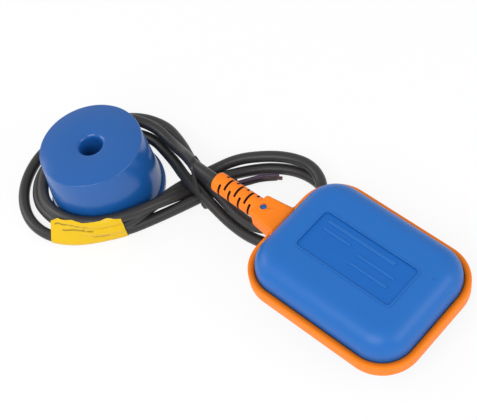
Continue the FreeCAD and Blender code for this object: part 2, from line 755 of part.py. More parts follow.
terminal_closed = fuse(
    "TerminalClosed", terminal("ClosedStrip", TERMINAL_END, TERMINALS[2]),
    terminal_corner("ClosedCorner", "closed_leg - terminal_thick / 2", "-1"), closed_leg, closed_finger,
)
piece("terminal_closed", terminal_closed, FLOAT)
blade = box(
    "BladeStrip", "blade_thick", "blade_length", "blade_width", BLADE_X,
    "blade_pivot - blade_length / 2", BLADE_FOOT,
)
blade_eye = cylinder("BladeEye", "blade_eye", "blade_width", BLADE_X, "blade_pivot", BLADE_FOOT)
blade_bore = cylinder(
    "BladeBore", "blade_bore", "terminal_width", BLADE_X, "blade_pivot", TERMINAL_FOOT
)
piece("contact_blade", cut("ContactBlade", fuse("BladeSolid", blade, blade_eye), blade_bore), FLOAT)
plunger_tip = "0 - case_front + lever_gap - lever_thick / 2 - plunger_gap"
plunger = cylinder(
    "PlungerRod", "plunger_size", "plunger_length", f"{plunger_tip} - plunger_length",
    "0 - plunger_place", BALL_HEIGHT, "X",
)
piece("switch_plunger", plunger, FLOAT)
LEVER_X = "0 - case_front + lever_gap"
lever_strip = box(
    "LeverStrip", "lever_thick", "lever_pivot + lever_tip", "lever_width", LEVER_X,
    "( lever_tip - lever_pivot ) / 2", f"{BALL_HEIGHT} - lever_width / 2",
)
lever_eye = cylinder(
    "LeverEye", "eye_size", "lever_width", LEVER_X, "0 - lever_pivot",
    f"{BALL_HEIGHT} - lever_width / 2",
)
lever_hole = cylinder(
    "LeverHole", "pivot_size + plunger_slack", "lever_width * 2", LEVER_X, "0 - lever_pivot",
    f"{BALL_HEIGHT} - lever_width",
)
piece("switch_lever", cut("SwitchLever", fuse("LeverSolid", lever_strip, lever_eye), lever_hole), FLOAT)
pin = cylinder(
    "PinRod", "pivot_size", "case_thick", LEVER_X, "0 - lever_pivot", CASE_FOOT
)
bracket_arms = [
    box(
        f"PinArm{number}", "lever_gap + pivot_size", "arm_width", "arm_thick",
        "0 - case_front + ( lever_gap + pivot_size ) / 2", "0 - lever_pivot", foot,
    )
    for number, foot in enumerate((CASE_FOOT, f"{CASE_FOOT} + case_thick - arm_thick"))
]
piece("lever_pin", fuse("LeverPin", pin, *bracket_arms), FLOAT)

# Ball, its rubber stop and the three cores inside the capsule
BALL_X = "capsule_length / 2 - capsule_wall - bumper_thick - ball_gap - ball_size / 2"
piece("track_ball", sphere("Ball", "ball_size", BALL_X, "0", BALL_HEIGHT), FLOAT)
bumper = box(
    "BumperPad", "bumper_thick", "ball_size", "bumper_height",
    "capsule_length / 2 - capsule_wall - bumper_thick / 2", "0", FLOOR,
)
piece("ball_stop", bumper, FLOAT)


def route(points, trim=0.0):
    """Straight runs joined by tangent arcs, less a share of the first and last runs; and the radii."""
    corners = [Vector(*point) for point in points]
    edges, radii = [], []
    start = corners[0] + (corners[1] - corners[0]) * trim
    for before, corner, after in zip(corners, corners[1:], corners[2:]):
        inward, outward = before - corner, after - corner
        half_turn = (math.pi - inward.getAngle(outward)) / 2
        reach = 0.45 * min(inward.Length, outward.Length)
        radii.append(reach / math.tan(half_turn))
        first = corner + inward.normalize() * reach
        last = corner + outward.normalize() * reach
        towards_middle = (inward + outward).normalize()
        to_centre = radii[-1] / math.cos(half_turn)
        middle = corner + towards_middle * (to_centre - radii[-1])
        edges.append(Part.LineSegment(start, first).toShape())
        edges.append(Part.Arc(first, middle, last).toShape())
        start = last
    end = corners[-1] - (corners[-1] - corners[-2]) * trim
    edges.append(Part.LineSegment(start, end).toShape())
    return Part.Wire(edges), radii


def tube(name, points, diameter, trim=0.0):
    """A round tube along a route; also the radii of its bends."""
    path, radii = route(points, trim)
    start = path.Edges[0].firstVertex().Point
    heading = path.Edges[0].tangentAt(path.Edges[0].FirstParameter)
    section = Part.Wire(Part.Circle(start, heading, diameter / 2).toShape())
    item = doc.addObject("Part::Feature", name)
    item.Shape = path.makePipeShell([section], True, False)
    wanted = math.pi * diameter**2 / 4 * path.Length
    print(
        f"{name}: length {path.Length:.1f}, smallest arc {min(radii, default=0):.1f},"
        f" volume {item.Shape.Volume / wanted:.4f} of section times length"
    )
    return item, radii


core_ring = size("core_size / 2") / math.cos(math.radians(30)) + size("core_gap")
tab_end = -size("case_front + case_depth + terminal_reach")
ball_level = size(BALL_HEIGHT)
sheath = -size("sheath_end")
for number, (colour, place) in enumerate(zip(("brown", "blue", "black"), TERMINALS)):
    angle = math.radians((30, 270, 150)[number])
    start_y, start_z = core_ring * math.cos(angle), core_ring * math.sin(angle)
    across = size(place)
    room = tab_end - sheath
    points = [
        (sheath, start_y, start_z),
        (sheath + 0.3 * room, start_y, start_z),
        (tab_end - 0.3 * room, across, ball_level),
        (tab_end, across, ball_level),
    ]
    core, radii = tube(f"InnerCore{number}", points, size("core_size"))
    piece(f"inner_core_{colour}", core, FLOAT)

# Counterweight: hollow shell with a bore tube, flanged base and cement filling
weight_place = ("weight_x", "weight_y")
weight_outer = cone(
    "WeightOuter", "weight_base", "weight_top", "weight_height - flange_height", *weight_place,
    "flange_height",
)
weight_soft = fillet(
    "WeightSoft", weight_outer, "weight_round", level_at(size("weight_height"))
)
weight_room = cone(
    "WeightRoom", "weight_base - 2 * weight_wall", "weight_top - 2 * weight_wall",
    "weight_height - flange_height - weight_wall", *weight_place, "flange_height",
)
bore_tube = cylinder(
    "BoreTube", "weight_bore + 2 * weight_wall", "weight_height - flange_height", *weight_place,
    "flange_height",
)
weight_bore = cylinder(
    "WeightBore", "weight_bore", "weight_height * 2", *weight_place, "0 - flange_height"
)
weight_walls = fuse(
    "WeightWalls", cut("WeightHollow", weight_soft, weight_room), bore_tube
)
weight_cut = cut("WeightShell", weight_walls, weight_bore)


def level_edge(height, narrowest, widest):
    """A test for level edges at one height whose width is in a range."""
    return lambda edge: level_at(height)(edge) and narrowest < edge.BoundBox.XLength < widest


bore_edge = level_edge(size("weight_height"), 0, size("weight_bore + weight_wall"))
piece("weight_shell", fillet("WeightShellSoft", weight_cut, "bore_round", bore_edge), TABLE)
base_disc = cylinder("BaseDisc", "weight_flange", "flange_height", *weight_place, "0")
base_bore = cylinder("BaseBore", "weight_bore", "flange_height", *weight_place, "0")
base_cut = cut("BaseRing", base_disc, base_bore)
flange_edge = level_edge(size("flange_height"), size("weight_base"), size("2 * weight_flange"))
piece("weight_base", fillet("WeightBase", base_cut, "flange_round", flange_edge), TABLE)
ballast = cone(
    "BallastCone", "weight_base - 2 * weight_wall", "weight_top - 2 * weight_wall",
    "weight_height - flange_height - weight_wall", *weight_place, "flange_height",
)
tube_room = cylinder(
    "TubeRoom", "weight_bore + 2 * weight_wall", "weight_height", *weight_place, "flange_height"
)
piece("weight_ballast", cut("Ballast", ballast, tube_room), TABLE)

# The free cable: points chosen by hand, from the boot tip to the stripped end, measured from the
# rim's edge on the cable side, on the table's level
rim_side = -size("float_length / 2")


def along_boot(reach):
    """A point on the boot's axis, as far from the float's middle as asked."""
    return (-reach * math.cos(lean), 0.0, centre_height + reach * math.sin(lean))


FREE_POINTS = [
    (-72.0, 1.8, 27.0), (-81.5, 4.6, 22.2), (-90.0, 7.4, 17.0), (-101.4, 9.8, 11.9),
    (-122.6, 16.2, 9.2), (-144.5, 10.1, 10.2), (-160.0, -5.9, 11.0), (-166.5, -26.5, 10.7),
    (-162.0, -47.0, 9.6), (-149.9, -61.5, 10.2), (-133.4, -68.9, 14.7), (-114.5, -69.2, 17.5),
    (-97.7, -60.8, 17.7), (-85.6, -46.2, 17.9), (-78.2, -23.0, 13.0), (-74.4, -3.4, 4.9),
    (-67.2, 12.6, 4.8), (-57.0, 27.5, 3.7), (-44.5, 39.0, 3.7), (-29.0, 46.0, 3.7),
    (-12.0, 46.2, 3.7), (1.5, 38.4, 3.7), (9.2, 24.0, 3.7), (7.4, 8.0, 3.7), (-4.0, -4.2, 3.7),
    (-19.5, -8.4, 3.7), (-36.0, -8.2, 4.2), (-50.5, -6.8, 8.4), (-64.5, -4.8, 12.4),
    (-79.5, -2.0, 12.8), (-92.5, 2.0, 9.0), (-105.0, 6.9, 4.0), (-122.6, 11.4, 3.7),
    (-142.9, 7.0, 3.7), (-160.0, -5.9, 3.7), (-169.4, -26.2, 3.7), (-167.4, -49.2, 3.7),
    (-153.6, -65.5, 3.8), (-134.0, -70.9, 7.0), (-114.3, -69.8, 10.3), (-97.3, -61.4, 10.6),
    (-85.2, -46.4, 10.4), (-83.9, -24.5, 8.0), (-82.0, -3.5, 4.9), (-74.2, 14.6, 5.0),
    (-64.6, 28.4, 9.0), (-50.2, 39.4, 10.9), (-37.4, 47.0, 10.7), (-23.6, 50.0, 10.6),
    (-10.3, 45.4, 10.8), (-1.1, 35.0, 10.9), (1.3, 21.2, 10.9), (-3.5, 8.0, 10.9),
    (-14.2, -1.0, 10.9), (-27.5, -3.4, 11.0), (-48.0, -0.8, 11.8), (-64.0, 2.8, 12.2),
    (-78.5, 6.2, 12.6), (-91.5, 11.6, 8.0), (-102.5, 16.9, 4.4), (-120.8, 22.6, 3.8),
    (-142.6, 18.8, 3.7), (-161.5, 6.3, 3.7), (-175.3, -12.0, 3.7), (-179.6, -35.1, 3.7),
    (-173.7, -53.9, 3.7), (-161.8, -69.0, 3.7), (-144.2, -79.6, 3.8), (-124.3, -81.7, 3.9),
    (-106.6, -75.0, 3.9), (-93.9, -63.1, 3.9), (-84.9, -49.3, 3.9), (-80.3, -38.2, 3.9),
    (-72.9, -20.6, 4.5), (-65.8, -3.0, 4.9), (-59.6, 8.6, 4.6), (-54.4, 17.0, 3.7),
]
CABLE_POINTS = [along_boot(size("boot_end")), along_boot(size("boot_end + lead_reach"))]
CABLE_POINTS += [(rim_side + x, y, z) for x, y, z in FREE_POINTS]
cable, cable_radii = tube("Cable", CABLE_POINTS, size("cable_size"))
piece("cable", cable, TABLE)
print("arc radii:", " ".join(f"{radius:.0f}" for radius in cable_radii))

# The wrapped label: a sleeve round the outer strand and a folded tail that leans on the next one
LABEL_POINTS = CABLE_POINTS[-10:-5]
LABEL_TRIM = 0.5
label_sleeve, label_radii = tube(
    "LabelSleeve", LABEL_POINTS, size("cable_size + 2 * label_thick"), LABEL_TRIM
)
label_core, label_radii = tube("LabelCore", LABEL_POINTS, size("cable_size"), LABEL_TRIM)
label_path, label_radii = route(LABEL_POINTS, LABEL_TRIM)
label_start = label_path.Edges[0].firstVertex().Point
label_way = label_path.Edges[0].tangentAt(label_path.Edges[0].FirstParameter)
up = Vector(0, 0, 1)
inward = up.cross(label_way)
tail_lean = math.radians(size("label_lean"))
tail_way = inward * math.cos(tail_lean) + up * math.sin(tail_lean)
tail_side = up * math.cos(tail_lean) - inward * math.sin(tail_lean)
tail_foot = label_start + tail_side * size("cable_size / 2")
tail_corners = [
    tail_foot,
    tail_foot + tail_way * size("label_tail"),
    tail_foot + tail_way * size("label_tail") + tail_side * size("2 * label_thick"),
    tail_foot + tail_side * size("2 * label_thick"),
    tail_foot,
]
tail_sweep = Part.BRepOffsetAPI.MakePipeShell(label_path)
tail_sweep.setBiNormalMode(up)
tail_sweep.add(Part.makePolygon(tail_corners))
tail_sweep.build()
tail_sweep.makeSolid()
label_tail = doc.addObject("Part::Feature", "LabelTail")
label_tail.Shape = tail_sweep.shape()
piece("cable_label", cut("CableLabel", fuse("LabelSolid", label_sleeve, label_tail), label_core), TABLE)

# Stripped cores at the free end
sheath_tip = Vector(*CABLE_POINTS[-1])
sheath_way = (sheath_tip - Vector(*CABLE_POINTS[-2])).normalize()
side_way = sheath_way.cross(Vector(0, 0, 1)).normalize()
up_way = side_way.cross(sheath_way)
CORE_ENDS = {
    "brown": [(-44.2, 30.6, 2.2), (-36.4, 36.4, 1.4)],
    "blue": [(-43.4, 28.6, 5.8), (-34.6, 34.0, 5.4)],
    "black": [(-42.0, 26.6, 1.8), (-32.8, 31.2, 1.3)],
}
for turn, (colour, ends) in zip((210, 90, 330), CORE_ENDS.items()):
    angle = math.radians(turn)
    start = sheath_tip + side_way * (core_ring * math.cos(angle)) + up_way * (core_ring * math.sin(angle))
    points = [tuple(start), tuple(start + sheath_way * size("core_lead"))]
    points += [(rim_side + x, y, z) for x, y, z in ends]
    core, radii = tube(f"EndCore{colour.title()}", points, size("core_size"))
    piece(f"end_core_{colour}", core, TABLE)

# Cable tie round the crossing: an upright rounded band
tie_placement = Placement(
    Vector(middle_x + size("tie_x"), middle_y + size("tie_y"), size("tie_high / 2 + 0.1")),
    Rotation(Vector(0, 0, 1), size("tie_turn")) * Rotation(Vector(0, 1, 0), 90),
)
tie_outer = rounded_block(
    "TieOuter", "tie_high", "tie_wide", "tie_width", "tie_corner", "0 - tie_width / 2"
)
tie_inner = rounded_block(
    "TieInner", "tie_high - 2 * tie_thick", "tie_wide - 2 * tie_thick", "tie_width",
    "tie_corner - tie_thick", "0 - tie_width / 2",
)
piece("cable_tie", cut("CableTie", tie_outer, tie_inner), tie_placement)

# Every object must have been made and every sub-part must be a sound solid
doc.recompute()
for item in doc.Objects:
    if "Invalid" in item.State or "Error" in item.State:
        raise RuntimeError(f"{item.Label} failed")
for node, item in pieces.items():
    if item.Shape.isNull() or not item.Shape.isValid() or not item.Shape.Solids:
        raise RuntimeError(f"{node} has no sound solid")
for node, item in pieces.items():
    item.Shape.exportStep(f"parts/{node}.step")
print(len(pieces), "sub-parts written")
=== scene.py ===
import math

import bmesh
import bpy
from mathutils import Matrix, Quaternion, Vector, kdtree


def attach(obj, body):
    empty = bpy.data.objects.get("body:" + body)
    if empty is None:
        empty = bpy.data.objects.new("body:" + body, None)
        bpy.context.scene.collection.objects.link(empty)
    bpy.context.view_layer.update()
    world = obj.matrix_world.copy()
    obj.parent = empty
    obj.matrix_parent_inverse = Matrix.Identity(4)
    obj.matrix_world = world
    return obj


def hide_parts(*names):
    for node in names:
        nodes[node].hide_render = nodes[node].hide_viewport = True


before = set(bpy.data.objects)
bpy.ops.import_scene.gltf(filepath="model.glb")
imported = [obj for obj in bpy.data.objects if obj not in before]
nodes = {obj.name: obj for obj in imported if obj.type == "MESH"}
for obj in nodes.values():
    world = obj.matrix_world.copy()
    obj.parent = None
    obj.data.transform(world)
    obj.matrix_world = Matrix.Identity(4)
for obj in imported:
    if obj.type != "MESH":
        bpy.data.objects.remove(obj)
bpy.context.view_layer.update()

# Studio: a white paper sweep that keeps a faint shadow, white air all round, soft boxes in front and
# on both sides, and a camera that looks down on the float's corner and the cable beyond it.
SWEEP_SIZE = 9.0
SWEEP_LEVEL = -0.0002
PAPER = (0.92, 0.92, 0.92, 1)
SHADOW_SHARE = 0.14
AIR_LIGHT = 0.64


def either_ray(tree, first, second):
    """One where a ray of either kind looks, nought for all others."""
    rays = tree.nodes.new("ShaderNodeLightPath")
    either = tree.nodes.new("ShaderNodeMath")
    either.operation = "MAXIMUM"
    tree.links.new(rays.outputs[first], either.inputs[0])
    tree.links.new(rays.outputs[second], either.inputs[1])
    return either.outputs[0]


bpy.ops.object.select_all(action="DESELECT")
bpy.ops.mesh.primitive_plane_add(size=SWEEP_SIZE, location=(0, 0, SWEEP_LEVEL))
sweep = bpy.context.object
sweep.name = "studio_sweep"
sweep_paint = bpy.data.materials.new("white_sweep")
sweep_paint.use_nodes = True
tree = sweep_paint.node_tree
tree.nodes.clear()
out = tree.nodes.new("ShaderNodeOutputMaterial")
paper = tree.nodes.new("ShaderNodeBsdfDiffuse")
paper.inputs["Color"].default_value = PAPER
glow = tree.nodes.new("ShaderNodeEmission")
share = tree.nodes.new("ShaderNodeMath")
share.operation = "MULTIPLY"
share.inputs[1].default_value = 1 - SHADOW_SHARE
blend = tree.nodes.new("ShaderNodeMixShader")
tree.links.new(either_ray(tree, "Is Camera Ray", "Is Glossy Ray"), share.inputs[0])
tree.links.new(share.outputs[0], blend.inputs["Fac"])
tree.links.new(paper.outputs[0], blend.inputs[1])
tree.links.new(glow.outputs[0], blend.inputs[2])
tree.links.new(blend.outputs[0], out.inputs["Surface"])
sweep.data.materials.append(sweep_paint)

world = bpy.data.worlds.new("studio_air")
bpy.context.scene.world = world
world.use_nodes = True
tree = world.node_tree
level = tree.nodes.new("ShaderNodeMapRange")
level.inputs["To Min"].default_value = AIR_LIGHT
level.inputs["To Max"].default_value = 1.0
tree.links.new(either_ray(tree, "Is Camera Ray", "Is Transmission Ray"), level.inputs["Value"])
tree.links.new(level.outputs[0], tree.nodes["Background"].inputs["Strength"])
tree.nodes["Background"].inputs["Color"].default_value = (1, 1, 1, 1)


def soft_box(name, place, aim, width, height, power):
    """A studio lamp whose sheet of light faces a point."""
    lamp = bpy.data.lights.new(name, "AREA")
    lamp.shape = "RECTANGLE"
    lamp.size, lamp.size_y = width, height
    lamp.energy = power
    item = bpy.data.objects.new(name, lamp)
    bpy.context.scene.collection.objects.link(item)
    item.location = place
    item.rotation_mode = "QUATERNION"
    item.rotation_quaternion = (Vector(aim) - Vector(place)).to_track_quat("-Z", "Y")


soft_box("front_box", (0.22, -0.75, 0.85), (0, 0, 0), width=0.8, height=0.6, power=5.6)
soft_box("left_box", (-0.95, -0.45, 0.55), (0, 0, 0.02), width=0.7, height=0.5, power=3.0)
soft_box("right_box", (0.95, 0.25, 0.55), (0, 0, 0.02), width=0.7, height=0.5, power=3.0)

CAMERA_PLACE = Vector((0.359166, -0.241855, 0.595423))
CAMERA_AIM = Vector((-0.50437, 0.34323, -0.79234))
CAMERA_ROLL = math.radians(-16.99)
SENSOR = 36.0
FOCAL_PIXELS = 1240
PICTURE_PIXELS = 477
camera = bpy.data.cameras.new("studio_camera")
camera.sensor_width = SENSOR
camera.lens = FOCAL_PIXELS / PICTURE_PIXELS * SENSOR
camera.clip_start = 0.02
viewer = bpy.data.objects.new("studio_camera", camera)
bpy.context.scene.collection.objects.link(viewer)
viewer.location = CAMERA_PLACE
viewer.rotation_mode = "QUATERNION"
viewer.rotation_quaternion = CAMERA_AIM.to_track_quat("-Z", "Y") @ Quaternion((0, 0, 1), CAMERA_ROLL)
bpy.context.scene.camera = viewer
bpy.context.scene.view_settings.view_transform = "Standard"

# The float's two shells: blue polypropylene, injection moulded, satin, with a shallow recessed
# nameplate on the upper one. They are welded round a rubber seal before the rim is moulded on.
FLOAT_COLOUR = (26, 103, 184)
COAT_ROUGH = 0.12
GLOSS_SPREAD = 0.12


def linear(colour):
    """Screen colour, 0 to 255, as light."""
    values = [c / 255 for c in colour]
    return tuple(v / 12.92 if v <= 0.04045 else ((v + 0.055) / 1.055) ** 2.4 for v in values)


def moulded(
    name, colour, rough, spread=0.05, patch=35.0, grain=900.0, depth=0.00002, coat=0.0, metal=0.0,
    shine=0.5,
):
    """A moulded or drawn finish: slow shifts of tone, uneven gloss and a fine surface grain."""
    made = bpy.data.materials.new(name)
    made.use_nodes = True
    tree = made.node_tree
    shader = tree.nodes["Principled BSDF"]
    shader.inputs["Coat Weight"].default_value = coat
    shader.inputs["Coat Roughness"].default_value = COAT_ROUGH
    shader.inputs["Metallic"].default_value = metal
    shader.inputs["Specular IOR Level"].default_value = shine
    place = tree.nodes.new("ShaderNodeTexCoord")
    slow = tree.nodes.new("ShaderNodeTexNoise")
    slow.inputs["Scale"].default_value = patch
    slow.inputs["Detail"].default_value = 3
    fine = tree.nodes.new("ShaderNodeTexNoise")
    fine.inputs["Scale"].default_value = grain
    fine.inputs["Detail"].default_value = 2
    tone = tree.nodes.new("ShaderNodeMix")
    tone.data_type = "RGBA"
    light = linear(colour)
    tone.inputs["A"].default_value = (*[c * (1 - spread) for c in light], 1)
    tone.inputs["B"].default_value = (*[min(1, c * (1 + spread)) for c in light], 1)
    gloss = tree.nodes.new("ShaderNodeMapRange")
    gloss.inputs["To Min"].default_value = rough * (1 - GLOSS_SPREAD)
    gloss.inputs["To Max"].default_value = rough * (1 + GLOSS_SPREAD)
    bump = tree.nodes.new("ShaderNodeBump")
    bump.inputs["Distance"].default_value = depth
    bump.inputs["Strength"].default_value = 1.0
    for texture in (slow, fine):
        tree.links.new(place.outputs["Object"], texture.inputs["Vector"])
    tree.links.new(slow.outputs["Fac"], tone.inputs["Factor"])
    tree.links.new(slow.outputs["Fac"], gloss.inputs["Value"])
    tree.links.new(fine.outputs["Fac"], bump.inputs["Height"])
    tree.links.new(tone.outputs["Result"], shader.inputs["Base Color"])
    tree.links.new(gloss.outputs["Result"], shader.inputs["Roughness"])
    tree.links.new(bump.outputs["Normal"], shader.inputs["Normal"])
    return made


def finish(material, *names):
    """Gives modelled CAD pieces that keep their shape their material."""
    for name in names:
        nodes[name].data.materials.clear()
        nodes[name].data.materials.append(material)


float_blue = moulded("float_blue", FLOAT_COLOUR, 0.40, spread=0.03, grain=1100, depth=0.00002, shine=0.35)
finish(float_blue, "upper_shell", "lower_shell")

# Nameplate: a thin raised line round the recess and four plain raised bars on its grained floor,
# part of the same blue moulding. The small dot near the far corner is the mould's gate mark.
BODY = "float_and_weight"
LEAN = math.radians(4.0)
FLOAT_MIDDLE = Vector((0.0795055, 0.012, 0.021678))
FLOAT_FRAME = Matrix.Translation(FLOAT_MIDDLE) @ Matrix.Rotation(LEAN, 4, "Y")
DOME_TOP = 0.019
PLATE = (0.064, 0.027)
PLATE_DEPTH = 0.0006
PLATE_COLOUR = (12, 96, 180)
EDGING = 0.0010
EDGING_RISE = 0.00038
EDGING_ROOT = 0.0004
EDGING_CORNER, FLOOR_CORNER = 0.0030, 0.0024
FLOOR_GAP = 0.0001
FLOOR_THICK = 0.0001
BAR_THICK = 0.0009
# Each bar's middle along and across the float, its length and its width
BARS = (
    (-0.0040, 0.0092, 0.0460, 0.0022),
    (-0.0170, 0.0040, 0.0190, 0.0016),
    (0.0115, 0.0016, 0.0250, 0.0016),
    (0.0115, -0.0048, 0.0250, 0.0016),
)
GATE_MARK = (0.0405, 0.0145)
GATE_SIZE = (0.0011, 0.0011, 0.0003)
SMOOTH_BELOW = math.radians(40)


def start_edit(item):
    """Opens a piece's mesh for shaping, with nothing selected."""
    bpy.ops.object.select_all(action="DESELECT")
    item.select_set(True)
    bpy.context.view_layer.objects.active = item
    bpy.ops.object.mode_set(mode="EDIT")
    bpy.ops.mesh.select_mode(type="FACE")
    bpy.ops.mesh.select_all(action="DESELECT")


def pick(item, wanted):
    """Selects the faces that wanted(middle, normal) accepts."""
    shape = bmesh.from_edit_mesh(item.data)
    for face in shape.faces:
        face.select_set(bool(wanted(face.calc_center_median(), face.normal)))
    bmesh.update_edit_mesh(item.data)


def apply_all(item):
    """Makes a piece's modifiers part of its mesh, in their order."""
    bpy.ops.object.select_all(action="DESELECT")
    item.select_set(True)
    bpy.context.view_layer.objects.active = item
    for modifier in list(item.modifiers):
        bpy.ops.object.modifier_apply(modifier=modifier.name)


def block(name, middle, size):
    """A cuboid at its size and place, as the start of a piece."""
    bpy.ops.object.select_all(action="DESELECT")
    bpy.ops.mesh.primitive_cube_add(size=1, location=middle)
    item = bpy.context.object
    item.name = item.data.name = name
    item.scale = size
    bpy.ops.object.transform_apply(location=True, rotation=True, scale=True)
    return item


def soften(item, width, segments=3, angle=30):
    """Rounds a piece's sharp edges as its mould does."""
    rounding = item.modifiers.new("rounding", "BEVEL")
    rounding.width = width
    rounding.segments = segments
    rounding.limit_method = "ANGLE"
    rounding.angle_limit = math.radians(angle)
    apply_all(item)


def settle(item, place, material):
    """Sets a finished piece in its place and on its body. A piece that brings no finish gets this one."""
    item.data.transform(place)
    bpy.ops.object.select_all(action="DESELECT")
    item.select_set(True)
    bpy.context.view_layer.objects.active = item
    bpy.ops.object.shade_smooth_by_angle(angle=SMOOTH_BELOW)
    if not item.data.materials:
        item.data.materials.append(material)
    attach(item, BODY)
    return item


def join(name, parts):
    """Makes several shapes one piece."""
    bpy.ops.object.select_all(action="DESELECT")
    for part in parts:
        part.select_set(True)
    bpy.context.view_layer.objects.active = parts[0]
    bpy.ops.object.join()
    parts[0].name = parts[0].data.name = name
    return parts[0]


def slab(name, middle, size, corner):
    """A flat plate with its upright corners rounded."""
    item = block(name, middle, size)
    start_edit(item)
    shape = bmesh.from_edit_mesh(item.data)
    bpy.ops.mesh.select_mode(type="EDGE")
    for edge in shape.edges:
        ends = [v.co for v in edge.verts]
        edge.select_set(abs(ends[0].z - ends[1].z) > size[2] / 2)
    bmesh.update_edit_mesh(item.data)
    bpy.ops.mesh.bevel(offset=corner, segments=6, affect="EDGES")
    bpy.ops.object.mode_set(mode="OBJECT")
    return item


# The edging starts as a slab on the dome's flat and is inset and opened. The recess's floor is a
# thinner slab inside it
edging = slab(
    "nameplate_edging", (0, 0, DOME_TOP + EDGING_RISE / 2 - EDGING_ROOT / 2),
    (PLATE[0] + 2 * EDGING, PLATE[1] + 2 * EDGING, EDGING_RISE + EDGING_ROOT), EDGING_CORNER,
)
start_edit(edging)
pick(edging, lambda middle, normal: abs(normal.z) > 0.9)
bpy.ops.mesh.inset(thickness=EDGING, depth=0)
bpy.ops.mesh.bridge_edge_loops()
bpy.ops.object.mode_set(mode="OBJECT")
soften(edging, 0.00012, segments=2)
floor_level = DOME_TOP - PLATE_DEPTH
bars = []
for number, (x, y, length, width) in enumerate(BARS):
    bar = block(f"nameplate_bar_{number}", (x, y, floor_level), (length, width, BAR_THICK))
    soften(bar, 0.00020, segments=3)
    bars.append(bar)
gate = block("gate_mark", (*GATE_MARK, DOME_TOP), GATE_SIZE)
soften(gate, 0.00025, segments=3)
relief = join("nameplate_relief", [edging, *bars, gate])
settle(relief, FLOAT_FRAME, float_blue)
grained = moulded(
    "grained_blue", PLATE_COLOUR, 0.55, spread=0.05, patch=90, grain=2600, depth=0.00006, shine=0.3
)
plate = slab(
    "nameplate_floor", (0, 0, floor_level),
    (PLATE[0] - 2 * FLOOR_GAP, PLATE[1] - 2 * FLOOR_GAP, FLOOR_THICK), FLOOR_CORNER,
)
settle(plate, FLOAT_FRAME, grained)

# Rim and cable boot: one orange thermoplastic elastomer moulding round the joined shells. The block
# tapers to a shoulder with a moulding pin hole, and its slotted sleeve lets the cable flex. The faces
# deep in the slots carry a dark brown painted shade.
ORANGE = (255, 130, 14)
RIM_SIDE = 0.056
RIM_LEVEL = 0.0041
RIM_NEAR_BLOCK = 0.0505
GROOVE_LEVEL = 0.0031
FLANGE_LEVEL = 0.00195
SAME_LEVEL = 0.00005
CUT_SLACK = 0.00002
BLOCK_ROOT, BLOCK_END = 0.0532, 0.073
BLOCK_WIDTHS = (0.0212, 0.0156)
BLOCK_HEIGHTS = (0.0122, 0.0134)
BLOCK_ROUND = 0.0020
FLAT_MARGIN = 0.0005
FLAT_ENOUGH = 0.9925
PIN_PLACE = 0.0688
PIN_RADIUS = 0.0021
PIN_FLOOR, PIN_TOP = 0.0035, 0.0135
BOOT_TIP = 0.106
SLEEVE_ROOT = 0.002
SLEEVE_TUCK = 0.0001
SLEEVE_START, SLEEVE_END = 0.0066, 0.0061
COLLAR = 0.0035
COLLAR_SWELL = 0.0001
TIP_ROUND, TIP_DROP = 0.0008, 0.0007
SLOT_ROWS = 7
SLOT_PITCH = 0.00388
SLOT_WIDTH = 0.0014
FIRST_SLOT = 0.0763
SLOT_CORE = 0.0034
SLOT_SHADE = 0.0052
SIDE_SLOT, TOP_SLOT = 58, 47

orange = moulded("orange_elastomer", ORANGE, 0.50, spread=0.03, grain=1300, depth=0.00003, shine=0.3)
bpy.ops.object.select_all(action="DESELECT")
rim = bpy.data.objects.new("rim_and_cable_boot", nodes["rim_and_boot"].data.copy())
bpy.context.scene.collection.objects.link(rim)
rim.data.transform(FLOAT_FRAME.inverted())
rim.data.materials.clear()
rim.data.materials.append(orange)
start_edit(rim)
bpy.ops.mesh.select_all(action="SELECT")
bpy.ops.mesh.remove_doubles(threshold=0.000002)
bpy.ops.mesh.bisect(
    plane_co=(-RIM_SIDE - CUT_SLACK, 0, 0), plane_no=(1, 0, 0), clear_inner=True, use_fill=True
)
bpy.ops.object.mode_set(mode="OBJECT")
for vertex in rim.data.vertices:
    if abs(abs(vertex.co.z) - GROOVE_LEVEL) < SAME_LEVEL:
        vertex.co.z = math.copysign(FLANGE_LEVEL, vertex.co.z)
    if vertex.co.x < -RIM_NEAR_BLOCK and abs(vertex.co.z) > RIM_LEVEL:
        vertex.co.z = math.copysign(RIM_LEVEL, vertex.co.z)

# The block is wide and low at the rim, narrow and high at the shoulder
boot = block("boot_block", (0, 0, 0), (1, 1, 1))
boot.data.materials.append(orange)
for vertex in boot.data.vertices:
    near = vertex.co.x > 0
    vertex.co.x = -BLOCK_ROOT if near else -BLOCK_END
    vertex.co.y = math.copysign(BLOCK_WIDTHS[0 if near else 1] / 2, vertex.co.y)
    vertex.co.z = math.copysign(BLOCK_HEIGHTS[0 if near else 1] / 2, vertex.co.z)
soften(boot, BLOCK_ROUND, segments=5)
start_edit(boot)
pick(boot, lambda middle, normal: max(abs(normal.x), abs(normal.y), abs(normal.z)) > FLAT_ENOUGH)
bpy.ops.mesh.inset(thickness=FLAT_MARGIN, use_individual=True)
bpy.ops.object.mode_set(mode="OBJECT")
bpy.ops.object.select_all(action="DESELECT")
bpy.ops.mesh.primitive_cylinder_add(
    vertices=32, radius=PIN_RADIUS, depth=PIN_TOP - PIN_FLOOR,
    location=(-PIN_PLACE, 0, (PIN_FLOOR + PIN_TOP) / 2),
)
punch = bpy.context.object
hole = boot.modifiers.new("pin_hole", "BOOLEAN")
hole.operation = "DIFFERENCE"
hole.object = punch
apply_all(boot)
bpy.data.objects.remove(punch)

